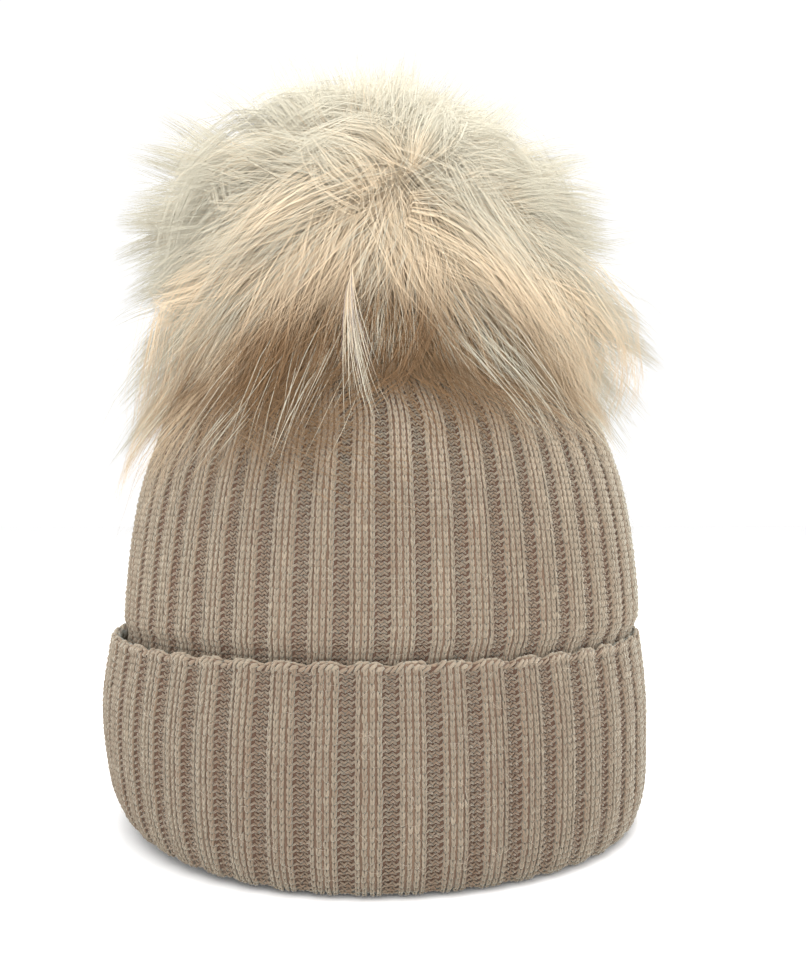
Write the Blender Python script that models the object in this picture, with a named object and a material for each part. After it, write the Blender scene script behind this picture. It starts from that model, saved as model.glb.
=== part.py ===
"""Rib-knit beanie with a turned-up cuff and a fur pom pom held by a sewn-on snap.

Metres, +Z up. The origin is on the hat's axis, on the surface that the hat stands on.
The back seam is at +Y. Outlines are lists of (radius, height) points.
"""

import math

import bmesh
import bpy
from mathutils import Vector

GAP = 0.0003  # between pieces that touch

# Knitted fabric: the crown is the tube and its closed top, the cuff is the turned-up hem.
CROWN_THICKNESS = 0.0025
CUFF_THICKNESS = 0.0026
CUFF_HEIGHT = 0.064
CUFF_TOP_RADIUS = 0.0903
CUFF_MAX_RADIUS = 0.0940
CUFF_FOOT_RADIUS = 0.0845  # inner end of the flat ring that the hat stands on
CROWN_FOOT = 0.0035  # height of the crown's lower end, just above the cuff's fold
CROWN_UNDER_CUFF = 0.0872
CROWN_MAX_RADIUS = 0.0889
APEX = 0.155
APEX_FLAT = 0.012  # radius of the flat at the top, where the snap is sewn on

# Sewn-on snap
SNAP_RADIUS = 0.0090
SNAP_PLATE = 0.0008
SNAP_HOLE = 0.0011
SNAP_HOLE_CIRCLE = 0.0070
SNAP_HOLES = 4
STUD_NECK = 0.0025
STUD_BULB = 0.00305
STUD_HEIGHT = 0.0037
SOCKET_BORE = 0.0042
SOCKET_MOUTH = 0.0035
SOCKET_CUP = 0.0054
SOCKET_DEPTH = 0.0036
SPRING_RADIUS = 0.0035
SPRING_WIRE = 0.0003
THREAD = 0.00025
YARN = 0.0007
PATCH_RADIUS = 0.0140
PATCH_THICKNESS = 0.0012

# Pom pom
BASE_RADIUS = 0.0130
BASE_THICKNESS = 0.0012
PELT_RADIUS = 0.0280
PELT_THICKNESS = 0.0010
PELT_MOUTH = 0.0062  # radius of the gathered opening under the pelt
CORE_RADIUS = 0.0262
LEAN_CLEARANCE = 0.0008
FUR_RADIUS = 0.0890
FUR_TOP = 0.258
FUR_LIP = 0.142
FUR_OFFSET = 0.002  # the hair lies slightly to one side
FUR_SKIN = 0.0012

# Care label
LABEL_WIDTH = 0.022
LABEL_HEIGHT = 0.034
LABEL_THICKNESS = 0.0004
LABEL_FOOT = 0.038
LABEL_STITCHES = 4  # zigzags on each side of the middle

# Heights of the stack on the crown's top
STUD_FOOT = APEX + 0.0004
SOCKET_FOOT = STUD_FOOT + 0.0015
SOCKET_TOP = SOCKET_FOOT + SOCKET_DEPTH
BASE_FOOT = SOCKET_TOP + GAP
LEAN_PIVOT = BASE_FOOT + BASE_THICKNESS
PELT_FOOT = LEAN_PIVOT + LEAN_CLEARANCE
PELT_CENTRE = PELT_FOOT + PELT_RADIUS

HAT_SIDES = 48
FUR_SIDES = 36
BALL_SIDES = 32
SNAP_SIDES = 24


def material(name, colour, roughness, metallic=0.0):
    made = bpy.data.materials.new(name)
    made.use_nodes = True
    shader = made.node_tree.nodes["Principled BSDF"]
    shader.inputs["Base Color"].default_value = (*colour, 1.0)
    shader.inputs["Roughness"].default_value = roughness
    shader.inputs["Metallic"].default_value = metallic
    return made


def joint_axis(name, height, parent=None):
    """An empty on the hat's axis, at the height where the pieces under it turn or slide."""
    empty = bpy.data.objects.new(name, None)
    empty.empty_display_size = 0.02
    bpy.context.collection.objects.link(empty)
    empty.location.z = height - (parent.matrix_world.translation.z if parent else 0.0)
    empty.parent = parent
    bpy.context.view_layer.update()
    return empty


def add_piece(name, bm, finish, parent=None):
    """Makes an object of a mesh drawn at its place in the hat, with its origin on its parent's."""
    origin = parent.matrix_world.translation if parent else Vector()
    bmesh.ops.recalc_face_normals(bm, faces=bm.faces[:])
    bmesh.ops.translate(bm, vec=-origin, verts=bm.verts[:])
    mesh = bpy.data.meshes.new(name)
    bm.to_mesh(mesh)
    bm.free()
    mesh.shade_smooth()
    mesh.set_sharp_from_angle(angle=math.radians(40))
    mesh.materials.append(finish)
    piece = bpy.data.objects.new(name, mesh)
    bpy.context.collection.objects.link(piece)
    piece.parent = parent
    return piece


def smooth_line(points, steps):
    """A Catmull-Rom curve through the points, with some steps to each span."""
    vectors = [Vector(p) for p in points]
    ends = [vectors[0] * 2 - vectors[1], *vectors, vectors[-1] * 2 - vectors[-2]]
    line = []
    for a, b, c, d in zip(ends, ends[1:], ends[2:], ends[3:]):
        for step in range(steps):
            t = step / steps
            line.append(
                0.5 * (2 * b + (c - a) * t + (2 * a - 5 * b + 4 * c - d) * t * t
                       + (3 * b - a - 3 * c + d) * t ** 3)
            )
    return [*line, vectors[-1]]


def parallel(line, distance):
    """The line moved to its right by a distance, and kept off the far side of the axis."""
    moved = []
    for i, point in enumerate(line):
        along = (line[min(i + 1, len(line) - 1)] - line[max(i - 1, 0)]).normalized()
        right = Vector((along.y, -along.x))
        moved.append(point + right * distance)
    for point, source in zip(moved, line):
        point.x = max(point.x, 0.0) if source.x > 0 else 0.0
    return moved


def turn(bm, outline, sides, closed=False, centre=(0.0, 0.0)):
    """Turns an outline about +Z. An open outline begins and ends on the axis."""
    rings = []
    for radius, height in outline:
        if radius < 1e-7:
            rings.append([bm.verts.new((*centre, height))])
            continue
        angles = [math.tau * i / sides for i in range(sides)]
        rings.append(
            [
                bm.verts.new(
                    (centre[0] + radius * math.cos(a), centre[1] + radius * math.sin(a), height)
                )
                for a in angles
            ]
        )
    pairs = list(zip(rings, rings[1:]))
    if closed:
        pairs.append((rings[-1], rings[0]))
    for low, high in pairs:
        for i in range(sides):
            corners = [low[i % len(low)], low[(i + 1) % len(low)],
                       high[(i + 1) % len(high)], high[i % len(high)]]
            unique = list(dict.fromkeys(corners))
            if len(unique) > 2:
                bm.faces.new(unique)


def shell(name, line, thickness, sides, finish, parent=None, centre=(0.0, 0.0)):
    """A turned wall: the line is its outer side, and its parallel the inner one."""
    bm = bmesh.new()
    outline = [*line, *reversed(parallel(line, thickness))]
    closed = line[0].x > 0 and line[-1].x > 0
    if not closed:
        on_axis = 0 if line[0].x == 0 else len(line) - 1
        split = on_axis + 1 if on_axis else 0
        outline = [*outline[split:], *outline[:split]]
    turn(bm, outline, sides, closed, centre)
    return add_piece(name, bm, finish, parent)


def disc(name, radius, foot, thickness, bevel, sides, finish, parent=None):
    """A round plate with a slightly rounded rim."""
    bm = bmesh.new()
    top = foot + thickness
    outline = [(0, foot), (radius - bevel, foot), (radius, foot + bevel), (radius, top - bevel),
               (radius - bevel, top), (0, top)]
    turn(bm, outline, sides)
    return add_piece(name, bm, finish, parent)


def sweep(bm, path, radius, sides, loop=False):
    """A round tube along a path, with flat ends unless it is a loop."""
    rings = []
    count = len(path)
    normal = None
    for i, point in enumerate(path):
        before = path[i - 1] if loop or i else point
        after = path[(i + 1) % count] if loop or i < count - 1 else point
        along = (after - before).normalized()
        start = normal if normal is not None else along.orthogonal()
        normal = (start - along * start.dot(along)).normalized()
        side = along.cross(normal)
        angles = [math.tau * k / sides for k in range(sides)]
        rings.append(
            [bm.verts.new(point + radius * (normal * math.cos(a) + side * math.sin(a))) for a in angles]
        )
    for low, high in zip(rings, rings[1:]):
        join_rings(bm, low, high)
    if loop:
        step = path[0] - path[-1]
        shift = min(range(sides), key=lambda k: (rings[0][k].co - rings[-1][0].co - step).length)
        join_rings(bm, rings[-1], [*rings[0][shift:], *rings[0][:shift]])
    else:
        bm.faces.new(list(reversed(rings[0])))
        bm.faces.new(rings[-1])


def join_rings(bm, low, high):
    for k in range(len(low)):
        following = (k + 1) % len(low)
        bm.faces.new((low[k], low[following], high[following], high[k]))


def yarn_ring(name, radius, thickness, height, finish, parent=None):
    """A loop of yarn or wire round the hat's axis."""
    bm = bmesh.new()
    outline = [
        (radius + thickness * math.cos(a), height + thickness * math.sin(a))
        for a in (math.tau * k / 8 for k in range(8))
    ]
    turn(bm, outline, SNAP_SIDES, closed=True)
    return add_piece(name, bm, finish, parent)


def sewing_thread(name, plate_side, away, finish, parent=None):
    """One loop of thread that comes up through each hole of a snap plate, goes over its rim twice
    and runs round outside it to the next hole.

    plate_side is the height of the plate's free face, and away is the side the thread arches to.
    """
    reach = away * 0.00055  # from the plate's face to the middle of the thread
    depth = away * (0.0001 - SNAP_PLATE)
    inner = SNAP_HOLE_CIRCLE + 0.0001
    outer = SNAP_RADIUS + 0.0007
    over_rim = [(outer, depth), (outer, 0.0), (outer - 0.0005, reach), (inner + 0.0004, reach),
                (inner, 0.0), (inner, depth)]
    spread = 0.055  # angle from a hole's middle to each thread through it
    pitch = math.tau / SNAP_HOLES
    path = []
    for hole in range(SNAP_HOLES):
        middle = pitch * (hole + 0.5)
        stations = [(r, h, middle - spread) for r, h in over_rim]
        stations += [(r, h, middle + spread) for r, h in reversed(over_rim)]
        stations += [(outer, depth, middle + spread + (pitch - 2 * spread) * k / 6) for k in range(1, 6)]
        path += [
            Vector((r * math.cos(a), r * math.sin(a), plate_side + h)) for r, h, a in stations
        ]
    bm = bmesh.new()
    sweep(bm, path, THREAD, 6, loop=True)
    add_piece(name, bm, finish, parent)


def cut_sewing_holes(piece, foot, parent=None):
    """Cuts the holes that the thread passes through into a snap plate."""
    bm = bmesh.new()
    for hole in range(SNAP_HOLES):
        angle = math.tau * (hole + 0.5) / SNAP_HOLES
        centre = Vector((math.cos(angle), math.sin(angle), 0)) * SNAP_HOLE_CIRCLE
        rim = [(0, foot - 0.001), (SNAP_HOLE, foot - 0.001), (SNAP_HOLE, foot + 0.002), (0, foot + 0.002)]
        turn(bm, rim, 12, centre=(centre.x, centre.y))
    cutter = add_piece(piece.name + "_hole_cutter", bm, piece.data.materials[0], parent)
    cutter.hide_render = True
    cutter.display_type = "WIRE"
    cut = piece.modifiers.new("sewing_holes", "BOOLEAN")
    cut.object = cutter
    cut.operation = "DIFFERENCE"
    cut.solver = "EXACT"


def crown_line():
    """The crown's outer side, from its lower end under the cuff to the top."""
    return smooth_line(
        [
            (CROWN_UNDER_CUFF, CROWN_FOOT),
            (CROWN_UNDER_CUFF, CUFF_HEIGHT - 0.003),
            (CROWN_MAX_RADIUS, CUFF_HEIGHT + 0.008),
            (0.0860, 0.101),
            (0.0803, 0.1235),
            (0.0700, 0.1425),
            (0.0420, 0.1530),
            (APEX_FLAT, APEX),
            (0.0, APEX),
        ],
        2,
    )


def knit_crown(finish):
    shell("knit_crown", crown_line(), -CROWN_THICKNESS, HAT_SIDES, finish)


def knit_cuff(finish, axis):
    """The hem from its cast-on edge down to the fold, and in to the ring that it stands on."""
    fold = [
        Vector((0.0880, 0.0)),
        Vector((CUFF_FOOT_RADIUS, 0.0)),
    ]
    side = smooth_line(
        [
            (CUFF_TOP_RADIUS, CUFF_HEIGHT),
            (0.0922, 0.052),
            (0.0936, 0.040),
            (CUFF_MAX_RADIUS, 0.028),
            (0.0935, 0.016),
            (0.0919, 0.0065),
            (0.0901, 0.0018),
        ],
        2,
    )
    shell("knit_cuff", [*side, *fold], CUFF_THICKNESS, HAT_SIDES, finish, axis)


def back_seam(finish):
    """The seam's yarn inside the back, from the crown's foot to the gathered top."""
    inner = parallel(crown_line(), -CROWN_THICKNESS - GAP - 0.0009)
    path = [Vector((0, p.x, p.y)) for p in inner if 0.016 < p.x and p.y > 0.005]
    bm = bmesh.new()
    sweep(bm, path, 0.0009, 8)
    add_piece("back_seam_yarn", bm, finish)


def care_label(finish, thread):
    """A blank woven label over the back seam, and the stitches along its upper edge."""
    face = CROWN_UNDER_CUFF - CROWN_THICKNESS - 0.0029
    bm = bmesh.new()
    bmesh.ops.create_cube(bm, size=1.0)
    bmesh.ops.scale(bm, vec=(LABEL_WIDTH, LABEL_THICKNESS, LABEL_HEIGHT), verts=bm.verts[:])
    bmesh.ops.translate(bm, vec=(0, face, LABEL_FOOT + LABEL_HEIGHT / 2), verts=bm.verts[:])
    add_piece("care_label", bm, finish)
    pitch = LABEL_WIDTH / (2 * LABEL_STITCHES + 2)
    middle = Vector((0, face - LABEL_THICKNESS / 2 - GAP - THREAD, LABEL_FOOT + LABEL_HEIGHT - 0.0025))
    zigzag = range(-LABEL_STITCHES, LABEL_STITCHES + 1)
    path = [middle + Vector((i * pitch, 0, 0.0008 * (-1) ** i)) for i in zigzag]
    bm = bmesh.new()
    sweep(bm, path, THREAD, 6)
    add_piece("label_stitches", bm, thread)


def snap_on_crown(metal, thread, yarn, felt):
    """The gathered top, the patch inside it and the snap's stud on it."""
    inside = APEX - CROWN_THICKNESS
    ring_height = inside - GAP - YARN
    yarn_ring("crown_gather_yarn", 0.005, YARN, ring_height, yarn)
    disc("snap_patch", PATCH_RADIUS, ring_height - YARN - GAP - PATCH_THICKNESS, PATCH_THICKNESS,
         0.0003, SNAP_SIDES, felt)
    bm = bmesh.new()
    rise = STUD_FOOT + SNAP_PLATE
    outline = [
        (0, STUD_FOOT), (SNAP_RADIUS, STUD_FOOT), (SNAP_RADIUS, rise - 0.0003),
        (SNAP_RADIUS - 0.0003, rise), (STUD_NECK + 0.0010, rise), (STUD_NECK, rise + 0.0003),
        (STUD_NECK, rise + 0.0011), (STUD_BULB, rise + 0.0017), (STUD_BULB - 0.0002, rise + 0.0023),
        (0.0019, STUD_FOOT + STUD_HEIGHT - 0.0001), (0, STUD_FOOT + STUD_HEIGHT),
    ]
    turn(bm, outline, SNAP_SIDES)
    stud = add_piece("snap_stud", bm, metal)
    cut_sewing_holes(stud, STUD_FOOT)
    sewing_thread("stud_stitches", rise, 1, thread)


def snap_under_pom(metal, thread, leather, slide_axis, swivel_axis):
    """The spring that grips the stud, the socket that holds it, and the disc it is sewn to."""
    yarn_ring("snap_spring", SPRING_RADIUS, SPRING_WIRE, SOCKET_FOOT + 0.0009, metal, slide_axis)
    plate = SOCKET_TOP - SNAP_PLATE
    bm = bmesh.new()
    outline = [
        (0, SOCKET_TOP), (SNAP_RADIUS - 0.0003, SOCKET_TOP), (SNAP_RADIUS, SOCKET_TOP - 0.0003),
        (SNAP_RADIUS, plate), (SOCKET_CUP, plate), (SOCKET_CUP, SOCKET_FOOT + 0.0004),
        (SOCKET_CUP - 0.0004, SOCKET_FOOT), (SOCKET_MOUTH, SOCKET_FOOT),
        (SOCKET_MOUTH, SOCKET_FOOT + 0.0003), (SOCKET_BORE, SOCKET_FOOT + 0.0003),
        (SOCKET_BORE, SOCKET_TOP - 0.0005), (0, SOCKET_TOP - 0.0005),
    ]
    turn(bm, outline, SNAP_SIDES)
    socket = add_piece("snap_socket", bm, metal, swivel_axis)
    cut_sewing_holes(socket, plate, swivel_axis)
    sewing_thread("socket_stitches", plate, -1, thread, swivel_axis)
    disc("pom_base_disc", BASE_RADIUS, BASE_FOOT, BASE_THICKNESS, 0.0003, BALL_SIDES, leather,
         swivel_axis)


def pom_ball(leather, yarn, stuffing, axis):
    """The pelt, gathered round its stuffing and closed by a tie."""
    first = math.asin(PELT_MOUTH / PELT_RADIUS)
    rows = 11
    line = []
    for row in range(rows):
        angle = first + (math.pi - first) * row / (rows - 1)
        radius = PELT_RADIUS * math.sin(angle) if row < rows - 1 else 0.0
        line.append(Vector((radius, PELT_CENTRE - PELT_RADIUS * math.cos(angle))))
    shell("pom_pelt", line, -PELT_THICKNESS, BALL_SIDES, leather, axis)
    yarn_ring("pom_tie_yarn", 0.0049, YARN, PELT_FOOT + YARN, yarn, axis)
    bm = bmesh.new()
    angles = [math.pi * row / 10 for row in range(11)]
    outline = [
        (CORE_RADIUS * math.sin(a) if 0 < a < math.pi else 0.0,
         PELT_CENTRE - CORE_RADIUS * math.cos(a))
        for a in angles
    ]
    turn(bm, outline, BALL_SIDES)
    add_piece("pom_core", bm, stuffing, axis)


def pom_fur(finish, axis):
    """The hair: a skin over its ends, round the sides and back under to the pelt."""
    line = smooth_line(
        [
            (0.0, FUR_TOP),
            (0.044, 0.2490),
            (0.075, 0.2230),
            (FUR_RADIUS, 0.1790),
            (0.0872, 0.1470),
            (0.0845, FUR_LIP),
            (0.0810, 0.1465),
            (0.056, 0.1620),
            (0.0250, 0.1670),
        ],
        2,
    )
    line[0].x = 0.0
    shell("pom_fur", line, FUR_SKIN, FUR_SIDES, finish, axis, centre=(FUR_OFFSET, 0.0))


def main():
    for old in list(bpy.data.objects):
        bpy.data.objects.remove(old, do_unlink=True)
    knit = material("taupe_rib_knit", (0.42, 0.34, 0.26), 0.9)
    yarn = material("taupe_yarn", (0.38, 0.30, 0.23), 0.9)
    thread = material("sewing_thread", (0.50, 0.42, 0.33), 0.6)
    felt = material("felt", (0.33, 0.27, 0.21), 0.95)
    satin = material("label_satin", (0.80, 0.77, 0.72), 0.45)
    metal = material("nickel", (0.62, 0.60, 0.57), 0.3, 1.0)
    leather = material("pelt_leather", (0.66, 0.58, 0.47), 0.7)
    stuffing = material("polyester_stuffing", (0.85, 0.84, 0.81), 0.95)
    fur = material("cream_fur", (0.66, 0.58, 0.46), 0.8)

    cuff_axis = joint_axis("cuff_axis", 0.0)
    slide_axis = joint_axis("snap_axis", STUD_FOOT)
    swivel_axis = joint_axis("swivel_axis", SOCKET_FOOT, slide_axis)
    lean_axis = joint_axis("lean_axis", LEAN_PIVOT, swivel_axis)

    knit_crown(knit)
    knit_cuff(knit, cuff_axis)
    back_seam(yarn)
    care_label(satin, thread)
    snap_on_crown(metal, thread, yarn, felt)
    snap_under_pom(metal, thread, leather, slide_axis, swivel_axis)
    pom_ball(leather, yarn, stuffing, lean_axis)
    pom_fur(fur, lean_axis)


main()
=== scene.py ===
"""Looks of the pom pom beanie: a 4x2 rib knit with a turned-up cuff and a fur pom pom on a snap.

Metres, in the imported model's frame: +Z up, the front at -Y, the back seam at +Y.
"""

import math

import bpy
import numpy as np
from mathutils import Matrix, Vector


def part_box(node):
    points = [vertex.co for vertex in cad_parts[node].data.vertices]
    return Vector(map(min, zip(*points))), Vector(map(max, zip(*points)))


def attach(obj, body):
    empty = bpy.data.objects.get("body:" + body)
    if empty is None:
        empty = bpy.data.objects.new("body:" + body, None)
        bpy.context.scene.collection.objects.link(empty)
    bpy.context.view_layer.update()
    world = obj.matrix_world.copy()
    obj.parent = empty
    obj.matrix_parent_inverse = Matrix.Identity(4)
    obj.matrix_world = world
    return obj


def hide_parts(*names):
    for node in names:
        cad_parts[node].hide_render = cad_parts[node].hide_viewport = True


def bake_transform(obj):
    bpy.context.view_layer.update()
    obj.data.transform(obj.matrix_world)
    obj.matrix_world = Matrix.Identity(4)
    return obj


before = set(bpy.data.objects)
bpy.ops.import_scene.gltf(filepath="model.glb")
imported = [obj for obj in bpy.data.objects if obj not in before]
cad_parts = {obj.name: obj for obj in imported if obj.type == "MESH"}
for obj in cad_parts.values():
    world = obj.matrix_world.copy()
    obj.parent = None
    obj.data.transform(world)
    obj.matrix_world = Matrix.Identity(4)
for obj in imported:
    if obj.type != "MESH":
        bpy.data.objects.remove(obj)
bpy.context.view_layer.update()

UV_MAP = "OFBake"  # the export bakes on a map of this name, and unwraps a mesh that has none

# Sizes from the frame
_, crown_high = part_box("knit_crown")
_, cuff_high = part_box("knit_cuff")
_, fur_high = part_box("pom_fur")
pelt_low, pelt_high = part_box("pom_pelt")
CROWN_RADIUS = crown_high.x
CROWN_TOP = crown_high.z
CUFF_RADIUS = cuff_high.x
CUFF_HEIGHT = cuff_high.z
PELT_CENTRE = np.array((pelt_low + pelt_high) / 2)
PELT_RADIUS = pelt_high.z - PELT_CENTRE[2]

# Outlines, from the bottom up, as shares of the radius and the height of their CAD node
CROWN_OUTLINE = [(0.972, 0.024), (0.974, 0.15), (0.978, 0.394), (1.0, 0.462), (0.967, 0.652),
                 (0.903, 0.797), (0.787, 0.919), (0.472, 0.987), (0.135, 1.0), (0.0, 1.0)]
CUFF_OUTLINE = [(0.899, 0.040), (0.907, 0.014), (0.925, 0.004), (0.946, 0.012), (0.966, 0.055),
                (0.985, 0.14), (0.996, 0.25), (1.0, 0.4375), (0.9957, 0.625), (0.981, 0.8125),
                (0.962, 0.985)]

# How deep the ribs are along each outline: (share of its length, share of the relief)
CROWN_RELIEF = [(0.0, 0.6), (0.3, 0.8), (0.4, 1.0), (0.62, 1.0), (0.8, 0.6), (1.0, 0.1)]
CUFF_RELIEF = [(0.0, 0.3), (0.10, 0.45), (0.30, 1.0), (0.965, 1.0), (0.992, 0.35), (1.0, 0.25)]

# How the soft hat stands
CROWN_LEAN = 0.0028  # the crown stands this far right of the cuff
CUFF_PUSH = 0.0015  # and pushes the cuff's edge out this far
FOLD_LIFT = 0.0045  # the fold rises this far on the left
FOLD_TUCK = 0.0052  # and turns in this far
FOLD_HEIGHT = 0.050  # up to this height

# The knit
RIBS = 48
RIB_WALES = 6  # four knit and two purl
WALES = RIBS * RIB_WALES
COURSE = 0.0020
WALE_WIDTH = 0.00195
RIB_RELIEF = 0.0021
FIBRE_STEPS = 4
CROWN_WALL = 0.0024
CUFF_WALL = 0.0023
CUFF_FRONT_RIB = -0.023  # angle from the front to the middle of a rib
CROWN_FRONT_RIB = -0.078
DECREASES = [(0.056, 6), (0.030, 4), (0.015, 2), (0.0015, 1)]  # down to each radius, wales to a rib

# The fur
FUR_STEPS = 7
GUIDES = 400
UNDERFUR = 17000
GUARD_HAIRS = 43000
FLYAWAYS = 1500
LOCKS = 90  # that lie over the coat, from each whorl
LOCK_HAIRS = 64
WISPS = 32
WISP_HAIRS = 34
# Hair lengths: (degrees above level where it leaves the pelt, metres)
RIGHT_HAIR = [(-60, 0.052), (-28, 0.068), (-18, 0.088), (-6, 0.085), (4, 0.062), (15, 0.056),
              (28, 0.064), (38, 0.041), (50, 0.034), (90, 0.039)]
LEFT_HAIR = [(-60, 0.068), (-27, 0.085), (-12, 0.073), (2, 0.062), (12, 0.068), (32, 0.068),
             (44, 0.034), (60, 0.035), (90, 0.039)]
FACE_HAIR = [(-60, 0.066), (-20, 0.068), (5, 0.065), (40, 0.056), (65, 0.044), (90, 0.040)]
# Stray tufts: (degrees round from +X, up, metres)
SPIKES = [(114, 0.062), (84, 0.051), (58, 0.050), (164, 0.068), (12, 0.070)]
WIDEST_HAIR = fur_high.x + 0.010
HIGHEST_HAIR = fur_high.z + 0.009
SHADE_CENTRE = np.array((0.0, 0.0, 0.165))  # the coat is shaded partly as one soft ball about this
WHORLS = np.array([(0.06, -0.95, 0.27), (-0.06, 0.95, 0.27)])  # the hair parts here, front and back
WHORLS /= np.linalg.norm(WHORLS, axis=1, keepdims=True)
PIECE_HAIRS = 5500  # at most this many hairs in one mesh; in one mesh, so that it exports whole

rng = np.random.default_rng(11)


# ---- meshes from arrays


def add_object(name, data):
    item = bpy.data.objects.new(name, data)
    bpy.context.scene.collection.objects.link(item)
    return item


def add_mesh(name, points, faces, material, uv, values=None):
    """Makes an object of points, and faces given as one array for each number of corners."""
    mesh = bpy.data.meshes.new(name)
    points = np.asarray(points, np.float32)
    loops = np.concatenate([f.ravel() for f in faces]).astype(np.int32)
    sizes = np.concatenate([np.full(len(f), f.shape[1]) for f in faces])
    mesh.vertices.add(len(points))
    mesh.vertices.foreach_set("co", points.ravel())
    mesh.loops.add(len(loops))
    mesh.loops.foreach_set("vertex_index", loops)
    mesh.polygons.add(len(sizes))
    mesh.polygons.foreach_set("loop_start", np.concatenate([[0], np.cumsum(sizes)[:-1]]).astype(np.int32))
    layer = mesh.uv_layers.new(name=UV_MAP)
    layer.uv.foreach_set("vector", np.clip(uv, 0, 1)[loops].astype(np.float32).ravel())
    mesh.update(calc_edges=True)
    for key, numbers in (values or {}).items():
        attribute = mesh.attributes.new(key, "FLOAT", "POINT")
        attribute.data.foreach_set("value", np.asarray(numbers, np.float32))
    mesh.shade_smooth()
    mesh.materials.append(material)
    return add_object(name, mesh)


def grid_faces(rows, columns, wrap=True):
    """Quads between neighbouring points of a grid, whose last column meets its first if it wraps."""
    row = np.arange(rows - 1)[:, None]
    column = np.arange(columns if wrap else columns - 1)[None, :]
    after = (column + 1) % columns
    low, high = row * columns, (row + 1) * columns
    return np.stack([low + column, low + after, high + after, high + column], -1).reshape(-1, 4)


def around(count):
    """Evenly spaced angles, once round."""
    return 2 * np.pi * np.arange(count) / count


def polar(radius, turn, height):
    """Points at a radius and an angle round the Z axis, and a height."""
    return np.stack(np.broadcast_arrays(radius * np.cos(turn), radius * np.sin(turn), height), -1)


def normalised(vectors):
    return vectors / np.maximum(np.linalg.norm(vectors, axis=-1, keepdims=True), 1e-12)


def scattered(directions, amount):
    return normalised(directions + rng.normal(0, amount, directions.shape))


def strands(paths, radii, sides=3):
    """Tapering tubes along many paths at once: (points, faces, normals). A path's last point is its tip."""
    count, steps, _ = paths.shape
    along = normalised(np.gradient(paths, axis=1))
    across = normalised(np.cross(along, normalised(rng.normal(size=(count, 1, 3)))))
    other = np.cross(along, across)
    angles = around(sides)
    ring = across[:, :, None] * np.cos(angles)[:, None] + other[:, :, None] * np.sin(angles)[:, None]
    body = paths[:, :-1, None] + ring[:, :-1] * radii[:, :-1, None, None]
    points = np.concatenate([body.reshape(count, -1, 3), paths[:, -1:]], axis=1)
    each = points.shape[1]
    first = (np.arange(count) * each)[:, None, None]
    quads = (grid_faces(steps - 1, sides)[None] + first).reshape(-1, 4)
    last = (steps - 2) * sides
    tip = np.array([[last + k, last + (k + 1) % sides, each - 1] for k in range(sides)])
    root = np.arange(sides)[None, ::-1]
    fans = (np.concatenate([tip, root])[None] + first).reshape(-1, 3)
    normals = np.concatenate([ring[:, :-1].reshape(count, -1, 3), along[:, -1:]], axis=1)
    return points.reshape(-1, 3), [quads, fans], normals.reshape(-1, 3)


def grain(path, width, depth, sides):
    """A closed grain round a path of five (wale, course, lift): (points, quads, triangles)."""
    path = np.array(path, float)
    inner = path[1:-1]
    across = np.gradient(path[:, :2], axis=0)[1:-1]
    across = normalised(np.stack([across[:, 1], -across[:, 0]], -1))
    angles = around(sides)
    rings = np.repeat(inner[:, None], sides, axis=1)
    swell = np.array([0.85, 1.0, 0.85])[:, None]
    rings[:, :, :2] += across[:, None] * (np.cos(angles) * width)[None, :, None] * swell[:, :, None]
    rings[:, :, 2] += np.sin(angles)[None] * depth * swell
    points = np.concatenate([rings.reshape(-1, 3), path[:1], path[-1:]])
    quads = grid_faces(len(inner), sides)
    count = len(inner) * sides
    start = [[(k + 1) % sides, k, count] for k in range(sides)]
    end = [[count - sides + k, count - sides + (k + 1) % sides, count + 1] for k in range(sides)]
    return points, quads, np.array(start + end)


# ---- the fabric


def dense_outline(shares, radius, height, spacing=0.0004):
    """Evenly spaced points of a smooth line through the outline's points."""
    points = np.array(shares) * (radius, height)
    ends = np.vstack([2 * points[0] - points[1], points, 2 * points[-1] - points[-2]])
    t = np.linspace(0, 1, 40, endpoint=False)[:, None]
    line = []
    for a, b, c, d in zip(ends, ends[1:], ends[2:], ends[3:]):
        line.append(0.5 * (2 * b + (c - a) * t + (2 * a - 5 * b + 4 * c - d) * t ** 2
                           + (3 * b - a - 3 * c + d) * t ** 3))
    line = np.vstack([*line, points[-1:]])
    line[:, 0] = np.maximum(line[:, 0], 0)
    lengths = np.concatenate([[0], np.cumsum(np.linalg.norm(np.diff(line, axis=0), axis=1))])
    even = np.linspace(0, lengths[-1], int(lengths[-1] / spacing))
    return even, np.stack([np.interp(even, lengths, line[:, k]) for k in (0, 1)], -1)


def smooth_step(value, low, high):
    share = np.clip((value - low) / (high - low), 0, 1)
    return share * share * (3 - 2 * share)


def crown_shift(height):
    """How far to the right the leaning crown is at a height."""
    return CROWN_LEAN * smooth_step(height, 0.040, 0.075) * (1 - smooth_step(height, 0.128, 0.152))


def settled(points, leans):
    """The stance of the soft hat: the fold rises and turns in on the left, and the crown leans
    against the cuff on the right."""
    x, y, z = (points[..., k] for k in range(3))
    radius = np.maximum(np.hypot(x, y), 1e-9)
    left = np.clip(-x / radius, 0, 1) ** 2 * np.clip(1 - z / FOLD_HEIGHT, 0, 1) ** 1.5
    pushed = CUFF_PUSH * np.clip(x / radius, 0, 1) ** 2 * smooth_step(z, 0.025, 0.066)
    scale = 1 - FOLD_TUCK * left / np.maximum(radius, 0.05)
    shift = crown_shift(z) if leans else pushed
    return np.stack([x * scale + shift, y * scale, z + FOLD_LIFT * left], -1)


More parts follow.
